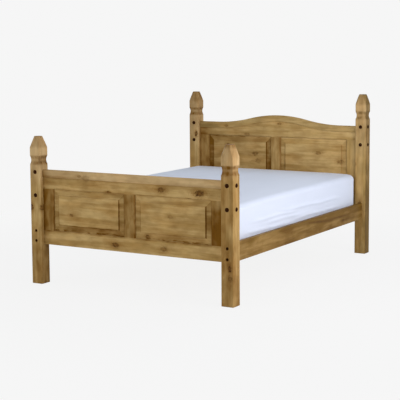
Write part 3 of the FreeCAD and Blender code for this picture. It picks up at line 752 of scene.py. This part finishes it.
def bare_pine(name, grain, shift, tint):
    """Planed wood with no wax, for what lies under the mattress and in the joints."""
    look = bpy.context.scene.waxed_pine
    made, finish = material(name)
    place = finish.node("TexCoord", output="Object")
    streak = figure(finish, place, grain, shift, 2.0, 55.0).ramp(0.36, 0.66)
    fibre = figure(finish, place, grain, shift + 5, 18.0, 640.0, 3.0)
    board = figure(finish, place, grain, shift + 9, 0.4, 7.5, 0.0)
    colour = finish.blend(streak, look.pale, look.honey)
    colour = finish.blend(fibre.ramp(0.65, 0.3) * 0.25, colour, look.autumn)
    colour = finish.blend(board.ramp(0.35, 0.65) * tint, colour, look.stain, "MULTIPLY")
    finish.surface(colour, fibre * 0.1 + 0.6, fibre, GRAIN_DEPTH, Specular_IOR_Level=0.3)
    return made


# Metal

def black_iron():
    """Hammered black iron with brown rust."""
    look = bpy.context.scene.ironwork
    made, finish = material("black_iron")
    place = finish.node("TexCoord", output="Object")
    dents = finish.node("TexVoronoi", {"feature": "SMOOTH_F1"}, {"Vector": place, "Scale": 260.0})
    rust = finish.noise(place, (120.0,) * 3, 3.0, 3.0).ramp(0.45, 0.75)
    colour = finish.blend(rust, look.black, look.rust)
    finish.surface(colour, rust * 0.2 + 0.6, dents, 0.0012, Specular_IOR_Level=0.03)
    return made


def zinc_steel():
    """Zinc-plated steel, a little dull."""
    look = bpy.context.scene.ironwork
    made, finish = material("zinc_steel")
    place = finish.node("TexCoord", output="Object")
    bloom = finish.noise(place, (60.0,) * 3, 8.0, 3.0)
    colour = finish.blend(bloom.ramp(0.35, 0.65), look.zinc, look.bright)
    finish.surface(colour, bloom * 0.25 + 0.25, bloom, 0.0002, Metallic=1.0)
    return made


# Mattress and sheet

# How far the pad lies inside the mattress's box, and the steps of its mesh
PAD_INSET = Vector((0.003, 0.003, 0.002))
PAD_STEPS = (0.022,) * 3

# How far the sheet lies inside the box's top and bottom, and how near a side of the box counts as that side
SHEET_INSET = Vector((0.0, 0.0, 0.0005))
SIDE_REACH = 0.012

# Where the top starts to sink towards the foot, and the length over which it comes to sink in full
SINK_START = -0.40
SINK_LENGTH = 0.50

# How far in from the sides and the foot the top sinks, and the share of it that the whole right side sinks
SIDE_SINK_REACH = 0.22
FOOT_SINK_REACH = 0.26
RIGHT_SINK = 0.4

# How fast the top's ripples change along two axes, their place in the noise, and how far in they are full
RIPPLE_RATES = (3.4, 2.3)
RIPPLE_PLACE = 4.2
RIPPLE_MARGIN = 0.09

# Folds in the sheet's sides: the axis that the side faces, with its sign, then where along that side the
# fold begins and ends, how high it is at either end, and its strength
FOLDS = (
    (0, 1, -0.36, 0.74, 0.482, 0.443, 1.1),
    (0, 1, -0.74, 0.06, 0.452, 0.448, 0.8),
    (0, 1, -0.80, -0.04, 0.395, 0.383, 0.8),
    (0, 1, -0.14, 0.72, 0.398, 0.386, 0.9),
    (0, 1, -0.55, 0.30, 0.424, 0.410, 0.6),
    (0, -1, -0.80, 0.10, 0.470, 0.436, 1.0),
    (0, -1, -0.30, 0.76, 0.444, 0.455, 0.8),
    (0, -1, -0.84, 0.00, 0.400, 0.392, 0.9),
    (0, -1, -0.08, 0.80, 0.410, 0.396, 1.0),
    (1, -1, -0.55, 0.20, 0.455, 0.430, 0.8),
    (1, -1, -0.05, 0.58, 0.420, 0.440, 0.8),
    (1, -1, -0.50, 0.50, 0.395, 0.398, 0.8),
)

# Half the width of a fold, how far it sways up and down, how fast, and what gives it a sway of its own
FOLD_WIDTH = 0.011
FOLD_SWAY = 0.012
FOLD_SWAY_RATE = 3.1
FOLD_PLACES = (57.0, 9.0)

# How far below the top, above the underside and in from the head the sheet is held, and how firmly the rest
HELD_TOP = 0.075
HELD_HEM = 0.006
HELD_HEAD = 0.060
HELD_SIDES = 0.6

# The thickness that keeps the sheet off the pad, and the furthest that any point of it settles
CLOTH_GAP = 0.001
MOST_SETTLED = 0.010


def cut_block(low, high, steps):
    """A box cut into a grid of about the given steps along the three axes."""
    block = bmesh.new()
    bmesh.ops.create_cube(block, size=1.0)
    size = high - low
    bmesh.ops.scale(block, vec=size, verts=block.verts)
    bmesh.ops.translate(block, vec=(low + high) / 2, verts=block.verts)
    for axis in range(3):
        along = [edge for edge in block.edges
                 if abs(edge.verts[0].co[axis] - edge.verts[1].co[axis]) > size[axis] / 2]
        cuts = round(size[axis] / steps[axis]) - 1
        bmesh.ops.subdivide_edges(block, edges=along, cuts=cuts, use_grid_fill=True)
    return block


def rounded(first, second, radius):
    """How far in from two faces a point lies, once the edge between those faces is round."""
    a = radius - first
    b = radius - second
    if a <= 0 or b <= 0:
        return first, second
    keep = max(a, b) / math.hypot(a, b)
    return radius - a * keep, radius - b * keep


def ease(share):
    """A smooth rise from 0 to 1."""
    share = min(max(share, 0.0), 1.0)
    return share * share * (3 - 2 * share)


def slack(spot, low, high, look):
    """How far the folds stand out at a spot of the sheet's sides."""
    out = 0.0
    for axis, sign, begin, end, first, last, strength in FOLDS:
        face = high[axis] if sign > 0 else low[axis]
        if abs(spot[axis] - face) > look.corner / 2:
            continue
        along = spot[1 - axis]
        share = (along - begin) / (end - begin)
        place = Vector((along * FOLD_SWAY_RATE, first * FOLD_PLACES[0], sign * FOLD_PLACES[1]))
        level = first + (last - first) * share + noise.noise(place) * FOLD_SWAY
        taper = ease(4 * share) * ease(4 * (1 - share))
        gap = (spot.z - level) / FOLD_WIDTH
        out += strength * taper * math.exp(-gap * gap)
    return look.crease * out


def sunk(spot, in_x, in_y, on_right, look):
    """How far the mattress's top sinks at a spot: at its right and foot edges, and in broad ripples."""
    foot = ease((SINK_START - spot.y) / SINK_LENGTH)
    right = RIGHT_SINK if on_right else 0.0
    sides = max(1 - in_x / SIDE_SINK_REACH, 0.0) ** 2 * ((1 - RIGHT_SINK) * foot + right)
    end = (1 - ease(in_y / FOOT_SINK_REACH)) * foot
    place = Vector((spot.x * RIPPLE_RATES[0], spot.y * RIPPLE_RATES[1], RIPPLE_PLACE))
    hollow = noise.noise(place) * 0.5 + 0.5
    return look.slump * max(sides, end) + look.ripple * hollow * ease(min(in_x, in_y) / RIPPLE_MARGIN)


def soften(block, low, high, look):
    """Round the block's corners and edges, draw in its sides, crown its top and let the top sink."""
    middle = (low + high) / 2
    half = (high - low) / 2
    top = high.z - look.crown
    rise = (high.z - low.z) / (top - low.z)
    for vert in block.verts:
        away = vert.co - middle
        sign = Vector((math.copysign(1, away.x), math.copysign(1, away.y)))
        in_x = half.x - abs(away.x)
        in_y = half.y - abs(away.y)
        inside = min(in_x, in_y)
        new_x, new_y = rounded(in_x, in_y, look.corner)
        normal = Vector((max(look.corner - new_x, 0), max(look.corner - new_y, 0)))
        if min(normal) == 0:
            normal = Vector((1, 0)) if in_x < in_y else Vector((0, 1))
        normal.normalize()
        level = low.z + (vert.co.z - low.z) / rise
        moved, down = rounded(inside, top - level, look.top_edge)
        moved, up = rounded(moved, level - low.z, look.bottom_edge)
        level = top - down if level > middle.z else low.z + up
        share = (level - low.z) / (top - low.z)
        belly = math.sin(math.pi * share)
        along = away.y / half.y if in_x < in_y else away.x / half.x
        pull = look.draw * belly * max(0.0, 1 - along * along) * (1 - ease(inside / look.corner))
        shift = inside - moved - pull
        vert.co.x = middle.x + sign.x * (half.x - new_x + normal.x * shift)
        vert.co.y = middle.y + sign.y * (half.y - new_y + normal.y * shift)
        reach = min(inside / look.crown_reach, 1.0)
        crown = look.crown * reach * (2 - reach) - sunk(vert.co, in_x, in_y, away.x > 0, look)
        vert.co.z = level + crown * ease(2 * share - 1)


def piece(name, shape, made, body):
    """An object of the finished shape that moves with a body of the frame."""
    mesh = bpy.data.meshes.new(name)
    shape.to_mesh(mesh)
    shape.free()
    for face in mesh.polygons:
        face.use_smooth = True
    mesh.materials.append(made)
    thing = bpy.data.objects.new(name, mesh)
    bpy.context.scene.collection.objects.link(thing)
    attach(thing, body)
    return thing


def cotton():
    """Plain-woven white cotton."""
    look = bpy.context.scene.made_bed
    made, finish = material("white_cotton")
    place = finish.node("TexCoord", output="Object")
    slub = finish.noise(place, (700.0,) * 3, 2.0, 2.0)
    soft = finish.noise(place, (5.0, 2.0, 12.0), 4.0, 2.0).ramp(0.3, 0.7)
    shade = tuple(c * 0.975 for c in look.sheet)
    colour = finish.blend(soft, shade, look.sheet)
    finish.surface(colour, slub * 0.1 + 0.82, slub, 0.00025, Specular_IOR_Level=0.2, Sheen_Weight=0.15)
    return made


def ticking():
    """Closely woven mattress ticking with narrow stripes."""
    look = bpy.context.scene.made_bed
    made, finish = material("mattress_ticking")
    place = finish.node("TexCoord", output="Object")
    wave = finish.node("TexWave", {"bands_direction": "X"}, {"Vector": place, "Scale": 22.0})
    slub = finish.noise(place, (500.0,) * 3, 6.0, 2.0)
    shade = tuple(c * 0.8 for c in look.ticking)
    colour = finish.blend(wave.ramp(0.86, 0.94), look.ticking, shade)
    finish.surface(colour, slub * 0.1 + 0.8, slub, 0.0003, Specular_IOR_Level=0.2)
    return made


# Operators

class FinishPosts(bpy.types.Operator):
    """Wax the four corner posts"""

    bl_idname = "pine_bed.finish_posts"
    bl_label = "Finish Posts"

    def execute(self, context):
        finish_boards(("foot_post", "head_post"))
        return {"FINISHED"}


class FinishFootboard(bpy.types.Operator):
    """Wax the footboard's rails, cap, stiles and panels"""

    bl_idname = "pine_bed.finish_footboard"
    bl_label = "Finish Footboard"

    def execute(self, context):
        finish_boards(("foot_bottom", "foot_top", "foot_cap", "foot_stile", "foot_panel"))
        return {"FINISHED"}


class FinishHeadboard(bpy.types.Operator):
    """Wax the headboard's rails, crest cap, stiles and panels"""

    bl_idname = "pine_bed.finish_headboard"
    bl_label = "Finish Headboard"

    def execute(self, context):
        finish_boards(("head_bottom", "head_top", "head_crest", "head_stile", "head_panel"))
        return {"FINISHED"}


class FinishBase(bpy.types.Operator):
    """Wax the side rails and plane the slats, ledgers and centre rail"""

    bl_idname = "pine_bed.finish_base"
    bl_label = "Finish Rails and Slats"

    def execute(self, context):
        finish_boards("side_rail")
        slat = bare_pine("bare_pine_slat", LYING, 3.0, 0.30)
        runner = bare_pine("bare_pine_runner", LENGTHWISE, 8.0, 0.35)
        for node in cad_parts:
            if node.startswith("slat_") and node[5:].isdigit():
                wear(node, slat)
            elif node.startswith("slat_ledger") or node == "centre_rail":
                wear(node, runner)
        wear("rail_dowels", bare_pine("bare_beech_dowel", LENGTHWISE, 15.0, 0.1))
        return {"FINISHED"}


class FinishIronwork(bpy.types.Operator):
    """Blacken the studs, bolts and washers and plate the nuts, screws and hangers"""

    bl_idname = "pine_bed.finish_ironwork"
    bl_label = "Finish Ironwork"

    def execute(self, context):
        iron = black_iron()
        for node in ("iron_studs", "bed_bolts", "bolt_washers"):
            wear(node, iron)
        steel = zinc_steel()
        for node in ("barrel_nuts", "ledger_screws", "slat_screws", "hanger_screws",
                     "centre_rail_hanger_foot", "centre_rail_hanger_head"):
            wear(node, steel)
        return {"FINISHED"}


class MakeMattress(bpy.types.Operator):
    """Make the mattress and the fitted sheet on it"""

    bl_idname = "pine_bed.make_mattress"
    bl_label = "Make Mattress"

    def execute(self, context):
        look = context.scene.made_bed
        low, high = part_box("mattress")
        pad = self.make_pad(low + PAD_INSET, high - PAD_INSET, look)
        sheet = self.make_sheet(low + SHEET_INSET, high - SHEET_INSET, look)
        self.settle(context, sheet, pad, low, high, look)
        depth = high.z - low.z + look.tuck
        flat = (high.x - low.x + 2 * depth, high.y - low.y + 2 * depth)
        flat[0] * flat[1] - 4 * depth * depth
        return {"FINISHED"}

    @staticmethod
    def make_pad(low, high, look):
        """The padded mattress, which stands in for the mattress of the frame."""
        block = cut_block(low, high, PAD_STEPS)
        soften(block, low, high, look)
        pad = piece("mattress_pad", block, ticking(), "mattress")
        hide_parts("mattress")
        return pad

    @staticmethod
    def make_sheet(low, high, look):
        """The fitted sheet with folds in its sides, open under the mattress."""
        block = cut_block(low, high, look.weave)
        opening = []
        for face in block.faces:
            centre = face.calc_center_median()
            inside = min(centre.x - low.x, high.x - centre.x, centre.y - low.y, high.y - centre.y)
            if face.normal.z < -0.9 and inside > look.tuck:
                opening.append(face)
        bmesh.ops.delete(block, geom=opening, context="FACES")
        soften(block, low, high, look)
        for vert in block.verts:
            out = slack(vert.co, low, high, look)
            for axis in range(2):
                if min(vert.co[axis] - low[axis], high[axis] - vert.co[axis]) < SIDE_REACH:
                    vert.co[axis] += math.copysign(out, vert.co[axis])
        return piece("fitted_sheet", block, cotton(), "mattress")

    @staticmethod
    def settle(context, sheet, pad, low, high, look):
        """Let the slack of the sheet's sides sag over the pad, with its top, hem and head end held."""
        held = sheet.vertex_groups.new(name="held")
        fixed = [vert.index for vert in sheet.data.vertices
                 if vert.co.z > high.z - HELD_TOP or vert.co.z < low.z + HELD_HEM
                 or vert.co.y > high.y - HELD_HEAD]
        held.add(range(len(sheet.data.vertices)), HELD_SIDES, "REPLACE")
        held.add(fixed, 1.0, "REPLACE")
        pad.modifiers.new("stop", "COLLISION")
        pad.collision.thickness_outer = CLOTH_GAP
        cloth = sheet.modifiers.new("settle", "CLOTH")
        cloth.settings.quality = 6
        cloth.settings.mass = 0.2
        cloth.settings.bending_stiffness = 0.3
        cloth.settings.vertex_group_mass = "held"
        cloth.collision_settings.distance_min = CLOTH_GAP
        cloth.point_cache.frame_end = look.settling
        for step in range(1, look.settling + 1):
            context.scene.frame_set(step)
        settled = sheet.evaluated_get(context.evaluated_depsgraph_get()).to_mesh()
        places = [vert.co.copy() for vert in settled.vertices]
        sheet.modifiers.remove(cloth)
        pad.modifiers.remove(pad.modifiers["stop"])
        sheet.vertex_groups.remove(held)
        for vert, place in zip(sheet.data.vertices, places):
            move = place - vert.co
            vert.co += move * min(1.0, MOST_SETTLED / max(move.length, 1e-6))
        context.scene.frame_set(1)


# The soft lights: where each hangs, the point that it faces and the length of its sides
KEY_LIGHT = ((3.6, -1.0, 1.9), (0.3, -0.2, 0.45), 2.2)
FILL_LIGHT = ((-2.6, -5.6, 2.6), (0.0, -0.4, 0.5), 2.6)
BACK_LIGHT = ((1.4, 4.6, 4.4), (0.0, 0.2, 0.6), 2.4)
WHITE = (1.0, 1.0, 1.0)

# Half the floor's width, where the bed's shadow on it ends and is full, and how much of that shadow shows
FLOOR_REACH = 40.0
SHADOW_END = 3.2
SHADOW_FULL = 1.2
SHADOW_SHARE = 0.052

SENSOR_WIDTH = 36.0


class SetStage(bpy.types.Operator):
    """Lay the pale floor, hang the lights and set up the camera"""

    bl_idname = "pine_bed.set_stage"
    bl_label = "Set Stage"

    def execute(self, context):
        look = context.scene.studio
        context.scene.view_settings.view_transform = "Standard"
        self.backdrop(context, look)
        self.floor(context, look)
        self.light(context, "key_light", KEY_LIGHT, look.key, look.key_tint)
        self.light(context, "fill_light", FILL_LIGHT, look.fill, WHITE)
        self.light(context, "back_light", BACK_LIGHT, look.rim, look.sky_tint)
        self.camera(context, look)
        return {"FINISHED"}

    @staticmethod
    def seen(finish):
        """1 for a ray from the camera, or one that it sees in a polished surface."""
        camera, glossy, through = finish.node(
            "LightPath", output=("Is Camera Ray", "Is Glossy Ray", "Is Transmission Ray"))
        return camera.most(glossy).most(through)

    def backdrop(self, context, look):
        """Even light from all round, with a pale backdrop where it is seen."""
        world = bpy.data.worlds.new("backdrop")
        context.scene.world = world
        finish = Finish(world)
        lit = finish.node("Background", {}, {"Color": (*look.sky_tint, 1.0), "Strength": look.sky})
        pale = finish.node("Background", {}, {"Color": (look.paper,) * 3 + (1.0,), "Strength": 1.0})
        both = finish.node("MixShader", {}, {0: self.seen(finish), 1: lit, 2: pale})
        finish.node("OutputWorld", {}, {"Surface": both})

    def floor(self, context, look):
        """A wide pale floor that keeps a soft shadow under the bed."""
        made, finish = material("pale_floor")
        pale = (look.paper,) * 3 + (1.0,)
        place = finish.node("TexCoord", output="Object")
        distance = finish.node("VectorMath", {"operation": "LENGTH"}, {0: place}, output="Value")
        shadow = distance.ramp(SHADOW_END, SHADOW_FULL) * SHADOW_SHARE
        matt = finish.node("BsdfDiffuse", {}, {"Color": pale})
        paper = finish.node("Emission", {}, {"Color": pale, "Strength": 1.0})
        both = finish.node("MixShader", {}, {0: self.seen(finish) * (1 - shadow), 1: matt, 2: paper})
        finish.node("OutputMaterial", {}, {"Surface": both})
        ground = bmesh.new()
        bmesh.ops.create_grid(ground, x_segments=1, y_segments=1, size=FLOOR_REACH)
        mesh = bpy.data.meshes.new("floor")
        ground.to_mesh(mesh)
        ground.free()
        mesh.materials.append(made)
        floor = bpy.data.objects.new("floor", mesh)
        context.scene.collection.objects.link(floor)

    @staticmethod
    def light(context, name, spot, power, tint):
        """A square soft light that faces a point."""
        place, aim, size = spot
        lamp = bpy.data.lights.new(name, "AREA")
        lamp.color = tint
        lamp.size = size
        lamp.energy = power
        thing = bpy.data.objects.new(name, lamp)
        thing.location = place
        thing.rotation_euler = (Vector(aim) - Vector(place)).to_track_quat("-Z", "Y").to_euler()
        context.scene.collection.objects.link(thing)

    @staticmethod
    def camera(context, look):
        """The camera, where the photograph was taken from."""
        level = math.cos(look.dip)
        ahead = Vector((-math.sin(look.turn) * level, math.cos(look.turn) * level, -math.sin(look.dip)))
        right = Vector((math.cos(look.turn), math.sin(look.turn), 0.0))
        above = right.cross(ahead)
        right = right * math.cos(look.roll) - above * math.sin(look.roll)
        above = right.cross(ahead)
        lens = bpy.data.cameras.new("camera")
        lens.sensor_width = SENSOR_WIDTH
        lens.lens = look.lens
        lens.shift_x, lens.shift_y = look.shift
        thing = bpy.data.objects.new("camera", lens)
        thing.location = look.eye
        thing.rotation_euler = Matrix((right, above, -ahead)).transposed().to_euler()
        context.scene.collection.objects.link(thing)
        context.scene.camera = thing


class PineBedPanel(bpy.types.Panel):
    """The bed's settings and the steps that finish it"""

    bl_idname = "VIEW3D_PT_pine_bed"
    bl_label = "Pine Bed"
    bl_space_type = "VIEW_3D"
    bl_region_type = "UI"
    bl_category = "Pine Bed"

    def draw(self, context):
        for group in SETTINGS:
            settings = getattr(context.scene, group)
            box = self.layout.box()
            for name in settings.__annotations__:
                box.prop(settings, name)
        for step in STEPS:
            self.layout.operator(step.bl_idname)


STEPS = (FinishPosts, FinishFootboard, FinishHeadboard, FinishBase, FinishIronwork, MakeMattress, SetStage)
SETTINGS = {"waxed_pine": WaxedPine, "ironwork": Ironwork, "made_bed": MadeBed, "studio": Studio}


def register():
    for name, group in SETTINGS.items():
        bpy.utils.register_class(group)
        setattr(bpy.types.Scene, name, bpy.props.PointerProperty(type=group))
    for step in STEPS + (PineBedPanel,):
        bpy.utils.register_class(step)


def unregister():
    for step in (PineBedPanel,) + STEPS[::-1]:
        bpy.utils.unregister_class(step)
    for name, group in reversed(SETTINGS.items()):
        delattr(bpy.types.Scene, name)
        bpy.utils.unregister_class(group)


def main():
    register()
    bpy.ops.pine_bed.finish_posts()
    bpy.ops.pine_bed.finish_footboard()
    bpy.ops.pine_bed.finish_headboard()
    bpy.ops.pine_bed.finish_base()
    bpy.ops.pine_bed.finish_ironwork()
    bpy.ops.pine_bed.make_mattress()
    bpy.ops.pine_bed.set_stage()


if __name__ == "__main__":
    main()
